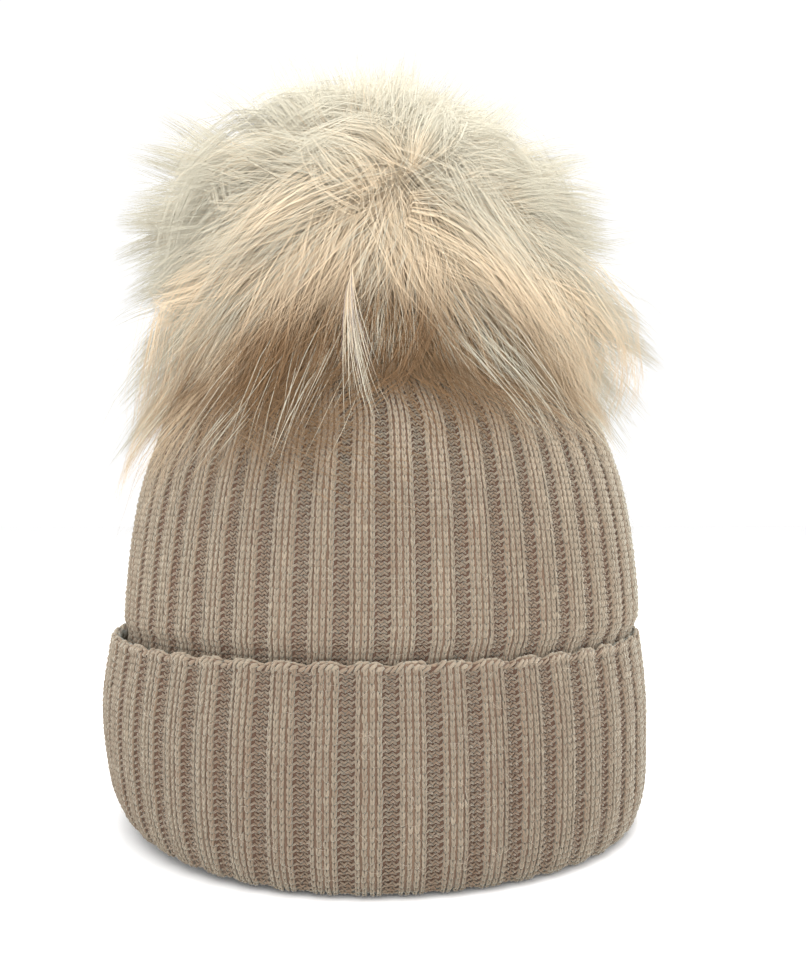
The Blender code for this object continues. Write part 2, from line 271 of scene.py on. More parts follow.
class Fabric:
    """A ribbed tube of knit, addressed by wale, distance up the outline and lift off the surface."""

    def __init__(self, shares, radius, height, relief, front_rib, scallop=0.0, leans=False):
        self.along, self.line = dense_outline(shares, radius, height)
        tangent = normalised(np.gradient(self.line, axis=0))
        self.normal = np.stack([tangent[:, 1], -tangent[:, 0]], -1)
        self.length = self.along[-1]
        self.relief = relief
        self.front_rib = front_rib
        self.scallop = scallop
        self.leans = leans

    def radius_at(self, distance):
        return np.interp(distance, self.along, self.line[:, 0])

    def height_at(self, distance):
        return np.interp(distance, self.along, self.line[:, 1])

    def outward(self, distance):
        """The outward direction, as (away from the axis, up)."""
        return np.stack([np.interp(distance, self.along, self.normal[:, k]) for k in (0, 1)], -1)

    def rib(self, wale):
        """From 0 in the middle of a purl valley to 1 on a knit rib."""
        wave = np.cos(2 * np.pi * (wale - 2) / RIB_WALES)
        return 0.5 + 0.5 * np.tanh(1.8 * (wave + 0.42)) / np.tanh(2.5)

    def paler(self, distance):
        """How much paler the yarn is painted at a distance: painted light on the upper crown, as lit from
        above.
        """
        return 6.5 * self.leans * smooth_step(distance / self.length, 0.42, 0.64)

    def depth(self, distance):
        shares, factors = zip(*self.relief)
        return RIB_RELIEF * np.interp(distance / self.length, shares, factors)

    def place(self, wale, distance, lift):
        wale, distance, lift = np.broadcast_arrays(wale, distance, lift)
        rib = self.rib(wale)
        near_edge = np.clip((distance / self.length - 0.8) / 0.2, 0, 1) ** 2
        distance = distance + self.scallop * (rib - 0.6) * near_edge
        radius = self.radius_at(distance)
        height = self.height_at(distance) + np.maximum(distance - self.length, 0)
        out = self.outward(distance)
        groove = 0.00042 * np.exp(-((wale + 1) % RIB_WALES - 3) ** 2 / 0.08)
        offset = (rib - 1) * self.depth(distance) - groove + lift
        wobble = 0.0026 * np.sin(wale * 0.131 + 1.3 * np.sin(distance * 31))
        angle = 2 * np.pi * (wale - 2) / WALES - np.pi / 2 + self.front_rib + wobble
        swell = 1 + 0.004 * np.sin(2 * angle + 0.6) * np.clip(radius / CROWN_RADIUS, 0, 1)
        radius = (radius + out[..., 0] * offset) * swell
        return settled(polar(radius, angle, height + out[..., 1] * offset), self.leans)

    def uv(self, wale, distance):
        return np.stack([wale / WALES, distance / self.length], -1)


def shell(name, outer, inner, material, uv, capped, values=None):
    """A closed wall between an outer and an inner grid that go round an axis, with a rim at the first
    row. At the last it has a rim too, or each grid is drawn to a point if it is capped."""
    rows, columns = outer.shape[:2]
    column = np.arange(columns)
    after = (column + 1) % columns
    size = rows * columns
    last = size - columns
    skin = grid_faces(rows, columns)
    quads = [skin, skin[:, ::-1] + size, np.stack([after, column, column + size, after + size], -1)]
    points = [outer.reshape(-1, 3), inner.reshape(-1, 3)]
    uv = np.tile(uv.reshape(-1, 2), (2, 1))
    values = {key: np.tile(value.reshape(-1), 2) for key, value in (values or {}).items()}
    faces = []
    if capped:
        tip = np.full(columns, 2 * size)
        faces = [np.concatenate([np.stack([column + last, after + last, tip], -1),
                                 np.stack([after + last + size, column + last + size, tip + 1], -1)])]
        points += [outer[-1].mean(0)[None], inner[-1].mean(0)[None]]
        uv = np.vstack([uv, [[0.5, 1.0]] * 2])
        values = {key: np.append(value, value[-2:]) for key, value in values.items()}
    else:
        quads.append(np.stack([column, after, after + size, column + size], -1) + last)
    return add_mesh(name, np.concatenate(points), [np.concatenate(quads), *faces], material, uv, values)


def ground(name, fabric, wall, material, columns_per_rib=8, row_height=0.0022):
    """The closed sheet that the stitches sit on: ribbed outside, and with the ribs reversed inside."""
    wale = np.arange(RIBS * columns_per_rib) * RIB_WALES / columns_per_rib
    closed_top = fabric.line[-1, 0] < 1e-6
    last = fabric.length - (0.0006 if closed_top else 0)
    wale, row = np.meshgrid(wale, np.linspace(0, last, int(last / row_height)))
    outer = fabric.place(wale, row, -0.00015)
    flat = (1 - fabric.rib(wale)) * fabric.depth(row)
    inner = fabric.place(wale, row, flat * 0.75 - wall)
    # The tone of -10 paints the sheet the dark of the holes between the stitches: painted shade.
    values = {"rib": fabric.rib(wale), "tone": np.full(wale.shape, -10.0)}
    return shell(name, outer, inner, material, fabric.uv(wale, row), closed_top, values)


def layout(radius):
    """The (position in the rib, width, knit or not) of each wale of a rib, at a radius of the crown."""
    for limit, count in DECREASES:
        if radius > limit:
            width = RIB_WALES / count
            return [((k + 0.5) * width, width, k < count - count // 3) for k in range(count)]
    return []


KNIT_LEGS = [
    grain([(0.03 * side, -0.62, -0.00030), (0.10 * side, -0.30, 0.00004), (0.17 * side, 0.10, 0.00020),
           (0.21 * side, 0.50, 0.00008), (0.20 * side, 0.88, -0.00032)], 0.19, 0.00042, 5)
    for side in (-1, 1)
]
PURL_BARS = [
    grain([(-0.66, -0.30 * up, -0.0003), (-0.34, -0.06 * up, 0.0001), (0.0, 0.20 * up, 0.0003),
           (0.34, -0.06 * up, 0.0001), (0.66, -0.30 * up, -0.0003)], 0.185, 0.00040, 4)
    for up in (1, -1)
]
EDGE_LOOPS = [
    grain([(-0.70, -1.20, -0.0006), (-0.40, -0.80, 0.00005), (0.0, -0.42, 0.00025), (0.40, -0.14, 0.00005),
           (0.70, 0.10, -0.0007)], 0.27, 0.00042, 6),
    grain([(-0.80, 0.10, -0.0014), (-0.45, 0.00, -0.0009), (0.0, 0.05, -0.0007), (0.45, 0.08, -0.0009),
           (0.80, 0.00, -0.0015)], 0.30, 0.00055, 6),
]


def stitch_sites(fabric, start, end):
    """Every stitch between two distances up the fabric: arrays of wale, distance, width and kind."""
    sites = []
    for row in range(int(start / COURSE), int(end / COURSE)):
        distance = (row + 0.5) * COURSE
        places = layout(float(fabric.radius_at(distance)))
        for rib in range(RIBS):
            sites += [(rib * RIB_WALES + at, distance, width, knit) for at, width, knit in places]
    return np.array(sites, float).reshape(-1, 4)


class Loops:
    """Many copies of the yarn's grains, collected into one mesh."""

    def __init__(self, fabric):
        self.fabric = fabric
        self.parts = []
        self.count = 0

    def add(self, grain_faces, wale, distance, lift, tone, rib):
        """Copies of a grain with these faces: its points, a row each, and the tone of each copy."""
        placed = self.fabric.place(wale, distance, lift)
        count, each = placed.shape[:2]
        first = self.count + (np.arange(count) * each)[:, None, None]
        quads, fans = (faces[None] + first for faces in grain_faces)
        self.parts.append((placed.reshape(-1, 3), quads.reshape(-1, 4), fans.reshape(-1, 3),
                           self.fabric.uv(wale, distance).reshape(-1, 2), np.repeat(tone, each),
                           np.broadcast_to(rib, (count, each)).ravel()))
        self.count += count * each

    def mesh(self, name, material):
        points, quads, fans, uv, tones, ribs = (np.concatenate(part) for part in zip(*self.parts))
        return add_mesh(name, points, [quads, fans], material, uv, {"tone": tones, "rib": ribs})


def stitches(name, fabric, start, end, material):
    """The yarn of each stitch: two legs for a knit stitch, and two bars for a purl one."""
    sites = stitch_sites(fabric, start, end)
    sites[:, 0] += rng.normal(0, 0.035, len(sites))
    sites[:, 1] += rng.normal(0, 0.035, len(sites)) * COURSE
    tone = rng.normal(0, 1, len(sites))
    loops = Loops(fabric)
    for knit, shapes in ((1, KNIT_LEGS), (0, PURL_BARS)):
        chosen = sites[:, 3] == knit
        for i, (shape, *faces) in enumerate(shapes):
            wale, distance, width, _ = (sites[chosen][:, k][:, None] for k in range(4))
            if not knit:
                wale = wale + (0.5 * i - 0.25) * width
                distance = distance + (0.5 * i - 0.25) * COURSE
            size = 1 + rng.normal(0, 0.07, wale.shape)
            at_wale = wale + shape[None, :, 0] * width * size
            at_distance = np.clip(distance + shape[None, :, 1] * COURSE, 0.0, fabric.length)
            lift = shape[None, :, 2] * size + rng.normal(0, 0.00005, wale.shape)
            # The rib's two outer knit wales are painted lighter, a painted highlight where they stand proud;
            # purl bars are lifted from the painted shade of the holes to the valley's painted shade.
            highlit_wale = np.abs((sites[chosen][:, 0] - 2) % RIB_WALES - 3) < 2
            lighter = 1.1 * highlit_wale if knit else 4.5
            # painted light: the crown's upper rows are painted paler, as lit from above
            tones = tone[chosen] + fabric.paler(distance[:, 0]) + lighter
            loops.add(faces, at_wale, at_distance, lift, tones, fabric.rib(at_wale))
    return loops.mesh(name, material)


def bands_of_stitches(name, fabric, start, end, count, material):
    """The stitches between two distances up the fabric, in a piece for each band."""
    bands = np.linspace(start, end, count + 1)
    return [stitches(f"{name}_stitches_{i + 1}", fabric, bands[i], bands[i + 1], material)
            for i in range(count)]


def cast_on_edge(name, fabric, material):
    """The edge of the cuff: two rows of slanting loops, on the face and over the top of the wall."""
    loops = Loops(fabric)
    for shape, *faces in EDGE_LOOPS:
        wale = (np.arange(WALES) + 0.5)[:, None] + rng.normal(0, 0.12, (WALES, 1))
        rise = rng.normal(0, 0.08, (WALES, 1))
        distance = fabric.length + (shape[None, :, 1] + rise) * COURSE
        lift = shape[None, :, 2] + rng.normal(0, 0.0001, (WALES, 1))
        tones = rng.normal(0.3, 0.9, WALES)
        # the rib value sets each loop's painted valley shade, milder than on the fabric
        loops.add(faces, wale + shape[None, :, 0], distance, lift, tones, 0.60 + 0.40 * fabric.rib(wale))
    return loops.mesh(name, material)


def fuzz(name, fabric, count, start, end, material):
    """Loose fibres of the yarn that stand a little off the ribs."""
    wale = RIB_WALES * rng.integers(0, RIBS, count) + 2 + rng.uniform(-2.3, 2.3, count)
    distance = rng.uniform(start, end, count)
    heading = rng.uniform(0, 2 * np.pi, count)
    length = rng.uniform(0.002, 0.0065, count)
    bend = rng.normal(0, 0.8, count)
    t = np.linspace(0, 1, FIBRE_STEPS)[None]
    turn = heading[:, None] + bend[:, None] * t
    step = length[:, None] / FIBRE_STEPS
    at_wale = wale[:, None] + np.cumsum(np.cos(turn), 1) * step / WALE_WIDTH
    at_distance = distance[:, None] + np.cumsum(np.sin(turn), 1) * step
    lift = 0.0004 + rng.uniform(0.0004, 0.0016, count)[:, None] * np.sin(t * 2.4)
    paths = fabric.place(at_wale, np.clip(at_distance, 0.0005, fabric.length - 0.0005), lift)
    radii = np.repeat(rng.uniform(0.00002, 0.00003, count)[:, None], FIBRE_STEPS, axis=1)
    points, faces, _ = strands(paths, radii)
    each = len(points) // count
    uv = np.repeat(fabric.uv(wale, distance), each, axis=0)
    return add_mesh(name, points, faces, material, uv)


# ---- materials


def shader_tree(name):
    material = bpy.data.materials.new(name)
    material.use_nodes = True
    return material, material.node_tree, material.node_tree.nodes["Principled BSDF"]


def set_inputs(tree, node, values):
    """Sets a node's inputs to constants, or links them to other nodes' outputs."""
    for key, value in values.items():
        if isinstance(value, bpy.types.NodeSocket):
            tree.links.new(value, node.inputs[key])
        else:
            node.inputs[key].default_value = value


def ramp(tree, source, stops):
    """A colour ramp fed by a value: stops are (place, colour)."""
    node = tree.nodes.new("ShaderNodeValToRGB")
    while len(node.color_ramp.elements) < len(stops):
        node.color_ramp.elements.new(0.5)
    for element, (place, colour) in zip(node.color_ramp.elements, stops):
        element.position = place
        element.color = (*colour, 1)
    set_inputs(tree, node, {"Fac": source})
    return node.outputs["Color"]


def texture(tree, kind, output, values):
    """A pattern in the piece's own space."""
    place = tree.nodes.new("ShaderNodeTexCoord")
    node = tree.nodes.new(kind)
    set_inputs(tree, node, {"Vector": place.outputs["Object"], **values})
    return node.outputs[output]


def noise(tree, scale, detail=2.0, roughness=0.5):
    values = {"Scale": scale, "Detail": detail, "Roughness": roughness}
    return texture(tree, "ShaderNodeTexNoise", "Fac", values)


def attribute(tree, name):
    node = tree.nodes.new("ShaderNodeAttribute")
    node.attribute_name = name
    return node.outputs["Fac"]


def weighted(tree, start, *terms):
    """A number plus each socket times its weight."""
    total = start
    for socket, weight in terms:
        node = tree.nodes.new("ShaderNodeMath")
        node.operation = "MULTIPLY_ADD"
        set_inputs(tree, node, {0: socket, 1: weight, 2: total})
        total = node.outputs[0]
    return total


def bump(tree, height, strength, distance):
    node = tree.nodes.new("ShaderNodeBump")
    set_inputs(tree, node, {"Strength": strength, "Distance": distance, "Height": height})
    return node.outputs["Normal"]


def yarn_material(name, light, dark):
    """Soft woollen yarn with flecks and fibre bumps, paler on the ribs and darker in the valleys by painted
    shade.
    """
    material, tree, shader = shader_tree(name)
    fleck = noise(tree, 900, 3)
    # The rib value paints shade into the valleys, and the ramp runs from the painted shade of the holes
    # (dark) and of the valleys (valley) through the yarn's own colour (light) to its palest (pale), reached
    # by painted light on highlit wales and the upper crown and by the brightest flecks.
    share = weighted(tree, -0.19, (attribute(tree, "rib"), 0.62), (attribute(tree, "tone"), 0.055),
                     (fleck, 0.30), (noise(tree, 38, 2), 0.30))
    valley = tuple(a * b for a, b in zip(light, (0.86, 0.72, 0.66)))
    pale = tuple(1.4 * c for c in light)
    set_inputs(tree, shader, {
        "Base Color": ramp(tree, share, [(0.0, dark), (0.33, valley), (0.74, light), (1.0, pale)]),
        "Roughness": weighted(tree, 0.78, (fleck, 0.2)),
        "Specular IOR Level": 0.15,
        "Sheen Weight": 0.5,
        "Sheen Roughness": 0.45,
        "Sheen Tint": (0.86, 0.92, 0.82, 1),
        "Normal": bump(tree, noise(tree, 2600, 3, 0.7), 0.35, 0.0002),
    })
    return material


def fibre_material(name, colour):
    material, tree, shader = shader_tree(name)
    deep = tuple(c * 0.8 for c in colour)
    set_inputs(tree, shader, {"Base Color": ramp(tree, noise(tree, 60, 1), [(0.3, deep), (0.7, colour)]),
                              "Roughness": 0.8, "Specular IOR Level": 0.1, "Sheen Weight": 0.3})
    return material


def hair_material(name, root, middle, tip):
    """Hair that is dark at the root and pale at the tip, partly the fur's own colour and partly painted
    shade deep in the coat, and differs from strand to strand.
    """
    material, tree, shader = shader_tree(name)
    cloud = noise(tree, 30, 2)
    share = weighted(tree, -0.15, (attribute(tree, "along"), 1.0), (attribute(tree, "tone"), 0.11),
                     (cloud, 0.30))
    inner = tuple(0.35 * a + 0.65 * b for a, b in zip(root, middle))
    colour = ramp(tree, share, [(0.0, root), (0.30, inner), (0.55, middle), (0.90, tip)])
    rough = weighted(tree, 0.55, (cloud, 0.15))
    set_inputs(tree, shader, {"Base Color": colour, "Roughness": rough, "Specular IOR Level": 0.12})
    through = tree.nodes.new("ShaderNodeBsdfTranslucent")
    both = tree.nodes.new("ShaderNodeMixShader")
    set_inputs(tree, through, {"Color": colour})
    set_inputs(tree, both, {"Fac": 0.26, 1: shader.outputs["BSDF"], 2: through.outputs["BSDF"]})
    set_inputs(tree, tree.nodes["Material Output"], {"Surface": both.outputs["Shader"]})
    return material


# ---- the fur


class HatForm:
    """Keeps hair off the crown, however far round the pom pom is turned: the crown's outline as a
    distance from a point on its axis."""

    def __init__(self, line, middle=0.080):
        self.middle = middle
        out, up = line[:, 0], line[:, 1] - middle
        angle = np.arctan2(up, out)
        order = np.argsort(angle)
        self.angle, self.reach = angle[order], np.hypot(out, up)[order]

    def push_out(self, points, margin):
        x, y, up = points[:, 0], points[:, 1], points[:, 2] - self.middle
        radius = np.hypot(x, y)
        reach = np.hypot(radius, up)
        lean = 0.0006 + 1.2 * crown_shift(points[:, 2]) * radius / np.maximum(reach, 1e-9)
        needed = np.interp(np.arctan2(up, radius), self.angle, self.reach) + margin + lean
        scale = np.where(reach < needed, needed / np.maximum(reach, 1e-9), 1.0)
        return np.stack([x * scale, y * scale, self.middle + up * scale], -1)


def sphere_directions(count):
    """Evenly spread directions."""
    index = np.arange(count) + 0.5
    up = 1 - 2 * index / count
    return polar(np.sqrt(1 - up ** 2), np.pi * (1 + 5 ** 0.5) * index, up)


def hair_length(direction):
    """How long hair grows in each direction, from how high it points and which side it is on."""
    x, y, up = direction.T
    height = np.degrees(np.arcsin(np.clip(up, -1, 1)))
    right, left, face = (np.interp(height, *zip(*stops)) for stops in (RIGHT_HAIR, LEFT_HAIR, FACE_HAIR))
    side = np.where(x > 0, right, left)
    facing = y ** 2 / np.maximum(x ** 2 + y ** 2, 1e-9)
    return side + (face - side) * facing


def angle_to(direction, target):
    return np.arccos(np.clip(direction @ target, -1, 1))


def combing(direction):
    """How hard and which way hair is combed: away from the whorls."""
    pull = np.zeros_like(direction)
    for whorl in WHORLS:
        angle = angle_to(direction, whorl)
        away = normalised(direction - np.cos(angle)[:, None] * whorl)
        pull += away * (0.30 * np.exp(-(angle / 0.80) ** 2) * (1 - np.exp(-(angle / 0.28) ** 2)))[:, None]
    return pull


def grow(direction, tilt, length, droop, wave, margin, form, drift=0.0):
    """Hair paths that leave the pelt straight, bend with the comb and gravity, and lie on the hat."""
    droop, wave, margin = (np.broadcast_to(value, len(direction)) for value in (droop, wave, margin))
    path = [PELT_CENTRE + direction * PELT_RADIUS]
    heading = tilt.copy()
    pull = combing(scattered(direction, 0.26))
    sway = rng.normal(0, 1, direction.shape)
    for step in range(1, FUR_STEPS):
        share = step / (FUR_STEPS - 1)
        heading = heading + pull * 1.5 * share ** 1.5 + (0, 0, -1) * (droop * share)[:, None]
        heading = heading + sway * (wave * math.sin(5.0 * share))[:, None]
        heading = heading + (1, 0, 0) * (drift * np.sign(direction[:, 0]) * share)[:, None]
        heading = normalised(heading)
        point = form.push_out(path[-1] + heading * (length / (FUR_STEPS - 1))[:, None], margin)
        path.append(point)
        heading = normalised(0.6 * heading + 0.4 * normalised(path[-1] - path[-2]))
    return np.stack(path, 1)


def drawn(paths, lengths, guides, nearest, clump):
    """Paths drawn towards the guide nearest to each, so that a tuft ends in a point."""
    guide_paths, guide_lengths = guides
    count = len(paths)
    share = np.clip(lengths / guide_lengths[nearest], 0, 1)[:, None] * np.arange(FUR_STEPS)
    low = np.minimum(share.astype(int), FUR_STEPS - 2)
    part = (share - low)[..., None]
    rows = nearest[:, None]
    target = guide_paths[rows, low] * (1 - part) + guide_paths[rows, low + 1] * part
    weight = clump[:, None] * np.linspace(0, 1, FUR_STEPS)
    offset = rng.normal(0, 0.0011, (count, 1, 3))
    return paths + (target + offset - paths) * weight[..., None]


def front_comb(direction):
    """How strongly hair sinks: most at the front, where it is combed down, and low on the left."""
    x, y, up = direction.T
    low = smooth_step(-up, -0.3, 0.4)
    return 0.15 + np.clip(-y, 0, 1) * (0.08 + 0.20 * low) + 0.14 * np.clip(-x, 0, 1) * low


def lie_on_hat(paths, form, margin):
    """Keeps hair off the crown, and halves what reaches beyond the coat's limits."""
    margin = np.repeat(np.broadcast_to(margin, len(paths)), FUR_STEPS)
    points = form.push_out(paths.reshape(-1, 3), margin)
    reach = np.hypot(points[:, 0], points[:, 1])
    scale = 1 - 0.5 * np.maximum(reach - WIDEST_HAIR, 0) / np.maximum(reach, WIDEST_HAIR)
    height = points[:, 2] - 0.5 * np.maximum(points[:, 2] - HIGHEST_HAIR, 0)
    points = np.stack([points[:, 0] * scale, points[:, 1] * scale, height], -1)
    return points.reshape(paths.shape)


def fur_layer(count, form, guides, clump, share, spread):
    """(paths, nearest guides, root directions) of an even layer of hair over the whole pelt."""
    guide_directions, guide_paths, guide_lengths = guides
    direction = scattered(sphere_directions(count), 0.03)
    direction = direction[direction[:, 2] > -0.93]
    count = len(direction)
    length = hair_length(direction) * share * (1.03 - 0.42 * rng.random(count) ** 2)
    tilt = scattered(direction, spread)
    margin = rng.uniform(0.0006, 0.0030, count)
    paths = grow(direction, tilt, length, front_comb(direction), 0.05, margin, form)
    nearest = np.argmax(direction @ guide_directions.T, axis=1)
    strength = clump * (1 - 0.45 * np.exp(-(angle_to(direction, WHORLS[0]) / 0.8) ** 2))
    paths = drawn(paths, length, (guide_paths, guide_lengths), nearest, strength)
    return lie_on_hat(paths, form, margin), nearest, direction


def tufts(form, centre, reach, hairs, droop, drift=0.0):
    """Long guard hairs that stand out of the coat in tufts, each round a direction with a reach."""
    guide_paths = grow(centre, centre, reach, droop, 0.06, 0.0016, form, drift)
    rows = np.repeat(np.arange(len(centre)), hairs)
    count = len(rows)
    direction = scattered(centre[rows], 0.10)
    length = reach[rows] * (1.05 - 0.40 * rng.random(count) ** 1.5)
    tilt = scattered(direction, 0.10)
    margin = rng.uniform(0.0005, 0.0022, count)
    paths = grow(direction, tilt, length, droop, 0.07, margin, form, drift)
    paths = drawn(paths, length, (guide_paths, reach), rows, rng.uniform(0.50, 0.92, count))
    return lie_on_hat(paths, form, margin)


def wisps(form):
    """Tufts that hang from under the pom pom and fan out over the crown, to each side of the front."""
    side = np.linspace(-1, 1, WISPS) + rng.uniform(-0.03, 0.03, WISPS)
    azimuth = -np.pi / 2 + np.sign(side) * (0.14 + 3.0 * np.abs(side))
    centre = normalised(polar(1.0, azimuth, -rng.uniform(0.25, 0.70, WISPS)))
    reach = rng.uniform(0.078, 0.110, WISPS) * (1 - 0.16 * np.abs(centre[:, 0]))
    return tufts(form, centre, reach, WISP_HAIRS, 0.36, 0.12)


def spikes(form):
    """The stray tufts that stand up out of the outline."""
    rise, reach = np.array(SPIKES).T
    rise = np.radians(rise)
    centre = np.stack([np.cos(rise), np.zeros(len(rise)), np.sin(rise)], -1)
    return tufts(form, centre, reach, 45, 0.02)


def each_hair(values):
    """A value for each hair from one for each lock."""
    return np.repeat(values, LOCK_HAIRS, axis=0)


def overlay(form):
    """Long hair that leaves the pelt at a whorl, turns over the coat and lies on it in flat locks."""
    paths = []
    for whorl in WHORLS:
        whorl = each_hair(scattered(np.tile(whorl, (LOCKS, 1)), 0.13))
        up = normalised(np.array([0.0, 0.0, 1.0]) - whorl[:, 2:] * whorl)
        side = np.cross(up, whorl)
        turn = each_hair(2 * np.pi * (np.arange(LOCKS) + rng.uniform(-0.5, 0.5, LOCKS)) / LOCKS)
        start = each_hair(rng.uniform(0.0, 0.70, LOCKS) ** 1.2)
        count = len(turn)
        downward = 0.5 - 0.5 * np.cos(turn)
        sweep = each_hair(rng.uniform(0.75, 1.15, LOCKS)) * (0.42 + 0.70 * downward ** 1.5)
        sweep = sweep * rng.uniform(0.70, 1.05, count)
        bend = each_hair(rng.normal(0, 0.28, LOCKS))
        offset = rng.normal(0, 0.11, count)
        lift = each_hair(rng.uniform(0.90, 1.0, LOCKS)) + rng.normal(0, 0.03, count)
        wave = each_hair(rng.normal(0, 0.10, LOCKS)) + rng.normal(0, 0.04, count)
        phase = each_hair(rng.uniform(0, 6, LOCKS))
        path = [PELT_CENTRE + PELT_RADIUS * scattered(whorl, 0.2)]
        for step in range(1, FUR_STEPS):
            share = (step - 1) / (FUR_STEPS - 2)
            angle = start + sweep * share
            spread = offset * (1 - 0.8 * share) / np.maximum(np.sin(angle), 0.25)
            heading = turn + bend * share + spread + wave * np.sin(5 * share + phase)
            flat = up * np.cos(heading)[:, None] + side * np.sin(heading)[:, None]
            direction = whorl * np.cos(angle)[:, None] + flat * np.sin(angle)[:, None]
            coat = PELT_RADIUS + hair_length(direction) * (0.66 + 0.17 * min(1.0, 1.6 * share))
            path.append(PELT_CENTRE + direction * (coat * lift)[:, None]
                        - np.outer(0.004 + 0.026 * downward, (0, 0, share ** 2)))
        paths.append(np.stack(path, 1))
    paths = np.concatenate(paths)
    return lie_on_hat(paths, form, rng.uniform(0.0008, 0.0035, len(paths)))


def front_lock(form, count=50):
    """The lock that hangs down the middle of the front, pale outside and grey within: each hair
    bends from its root round an elbow to its tip."""
    root = np.array([-0.006, -0.027, PELT_CENTRE[2]])
    elbow = root + (-0.004, -0.104, -0.036)
    tip = np.array([0.0, -0.079, 0.1310])
    roots = root + rng.normal(0, 1, (count, 1, 3)) * (0.0004, 0.0008, 0.0020)
    elbows = elbow + rng.normal(0, 1, (count, 1, 3)) * (0.0005, 0.0060, 0.0060)
    tips = tip + rng.normal(0, 1, (count, 1, 3)) * (0.0042, 0.0010, 0.0045)
    t = np.linspace(0, 1, FUR_STEPS)[None, :, None] * rng.uniform(0.75, 1.0, (count, 1, 1))
    paths = roots * (1 - t) ** 2 + elbows * 2 * t * (1 - t) + tips * t ** 2
    return lie_on_hat(paths, form, 0.001)


def hair_piece(name, paths, thickness, material, tones, shade=(0.0, 1.0)):
    """One mesh of hairs. shade is where the root and the tip lie on the material's colours, and tones
    makes each hair, or each step of each hair, paler."""
    count, steps, _ = paths.shape
    tones = np.broadcast_to(tones.reshape(count, -1), (count, steps))
    tones = np.concatenate([np.repeat(tones[:, :-1], 3, axis=1), tones[:, -1:]], axis=1)
    t = np.linspace(0, 1, steps)
    profile = np.interp(t, [0, 0.5, 0.85, 1], [0.7, 1.0, 0.6, 0.1])
    radii = thickness[:, None] * profile[None]
    points, faces, normals = strands(paths, radii)
    each = len(points) // count
    levels = np.concatenate([np.repeat(t[:-1], 3), [1.0]])
    along = shade[0] + (shade[1] - shade[0]) * levels
    middle = paths[:, 0] - PELT_CENTRE
    turn = np.arctan2(middle[:, 1], middle[:, 0]) / (2 * np.pi) + 0.5
    uv = np.stack([np.repeat(turn, each), np.tile(levels, count)], -1)
    piece = add_mesh(name, points, faces, material, uv,
                     {"along": np.tile(along, count), "tone": tones.ravel()})
    soft = normalised(0.32 * normals + 0.68 * normalised(points - SHADE_CENTRE))
    piece.data.normals_split_custom_set_from_vertices(soft.tolist())
    return piece


def hair_pieces(name, paths, thickness, material, tones, shade):
    """The hairs in as many meshes as they need."""
    pieces = []
    for i, first in enumerate(range(0, len(paths), PIECE_HAIRS)):
        part = slice(first, first + PIECE_HAIRS)
        thick = thickness * rng.uniform(0.7, 1.3, len(paths[part]))
        pieces.append(hair_piece(f"{name}_{i + 1:02d}", paths[part], thick, material, tones[part], shade))
    return pieces


def painted_light_tone(direction):
    """How much paler than the rest the hair is painted, all painted light and shade: palest on top, on the
    sides and round the whorls, darker at the front and darkest below, under the coat's bulge.
    """
    x, y, up = direction.T
    low = smooth_step(-up, 0.08, 0.58)
    front = np.clip(-y, 0, 1)
    angle = angle_to(direction, WHORLS.T).min(1)
    return (1.2 * smooth_step(up, 0.1, 0.8) + 0.6 * np.exp(-(angle / 0.65) ** 2) + 1.6 * np.abs(x)
            - 0.7 * front - (1.7 + 7.0 * front) * low)


def fur(pale, grey, form):
    """The whole pom pom's hair."""
    guide_directions = scattered(sphere_directions(GUIDES), 0.05)
    lengths = hair_length(guide_directions) * rng.uniform(0.94, 1.10, GUIDES)
    lengths *= np.where(rng.random(GUIDES) < 0.07, 1.18, 1.0)
    tilt = scattered(guide_directions, 0.15)
    guide_paths = grow(guide_directions, tilt, lengths, front_comb(guide_directions), 0.06, 0.0015, form)
    guides = (guide_directions, guide_paths, lengths)
    tuft_tone = rng.normal(0, 1, GUIDES)
    pieces = []
    for name, count, clump, share, spread, shade, thickness in (
        ("underfur", UNDERFUR, 0.35, 0.82, 0.20, (0.05, 0.68), 0.00015),
        ("guard_hair", GUARD_HAIRS, 0.78, 1.0, 0.08, (0.05, 1.0), 0.00010),
        ("flyaway_hair", FLYAWAYS, 0.15, 1.06, 0.16, (0.35, 1.1), 0.00008),
    ):
        paths, nearest, direction = fur_layer(count, form, guides, clump, share, spread)
        tones = 0.4 * tuft_tone[nearest] + rng.normal(0, 0.6, len(paths)) + painted_light_tone(direction)
        pieces += hair_pieces(name, paths, thickness, pale, tones, shade)
    paths = overlay(form)
    tones = rng.normal(0.5, 0.5, len(paths)) + each_hair(rng.normal(0, 0.6, len(paths) // LOCK_HAIRS))
    direction = normalised(paths.reshape(-1, 3) - PELT_CENTRE)
    # painted light and shade for each step of each hair, and painted light that makes it paler higher up
    tones = tones[:, None] + (painted_light_tone(direction) + 2.0 * direction[:, 2]).reshape(-1, FUR_STEPS)
    pieces += hair_pieces("overlay", paths, 0.00008, pale, tones, (0.48, 0.84))
    for name, paths in (("crown_wisps", wisps(form)), ("stray_tufts", spikes(form))):
        thick = 0.00010 * rng.uniform(0.7, 1.3, len(paths))
        pieces.append(hair_piece(name, paths, thick, pale, rng.normal(3.0, 0.9, len(paths)), (0.45, 1.0)))
    paths = front_lock(form)
    thick = 0.00008 * rng.uniform(0.7, 1.3, len(paths))
    inner = np.arange(len(paths)) % 4 == 0
    pieces.append(hair_piece("front_lock", paths[~inner], thick[~inner], pale,
                             rng.normal(1.0, 0.8, (~inner).sum()), (0.35, 0.85)))
    pieces.append(hair_piece("front_lock_grey", paths[inner], thick[inner], grey,
                             rng.normal(0, 0.6, inner.sum()), (0.0, 1.0)))
    return pieces


# ---- inside the hat


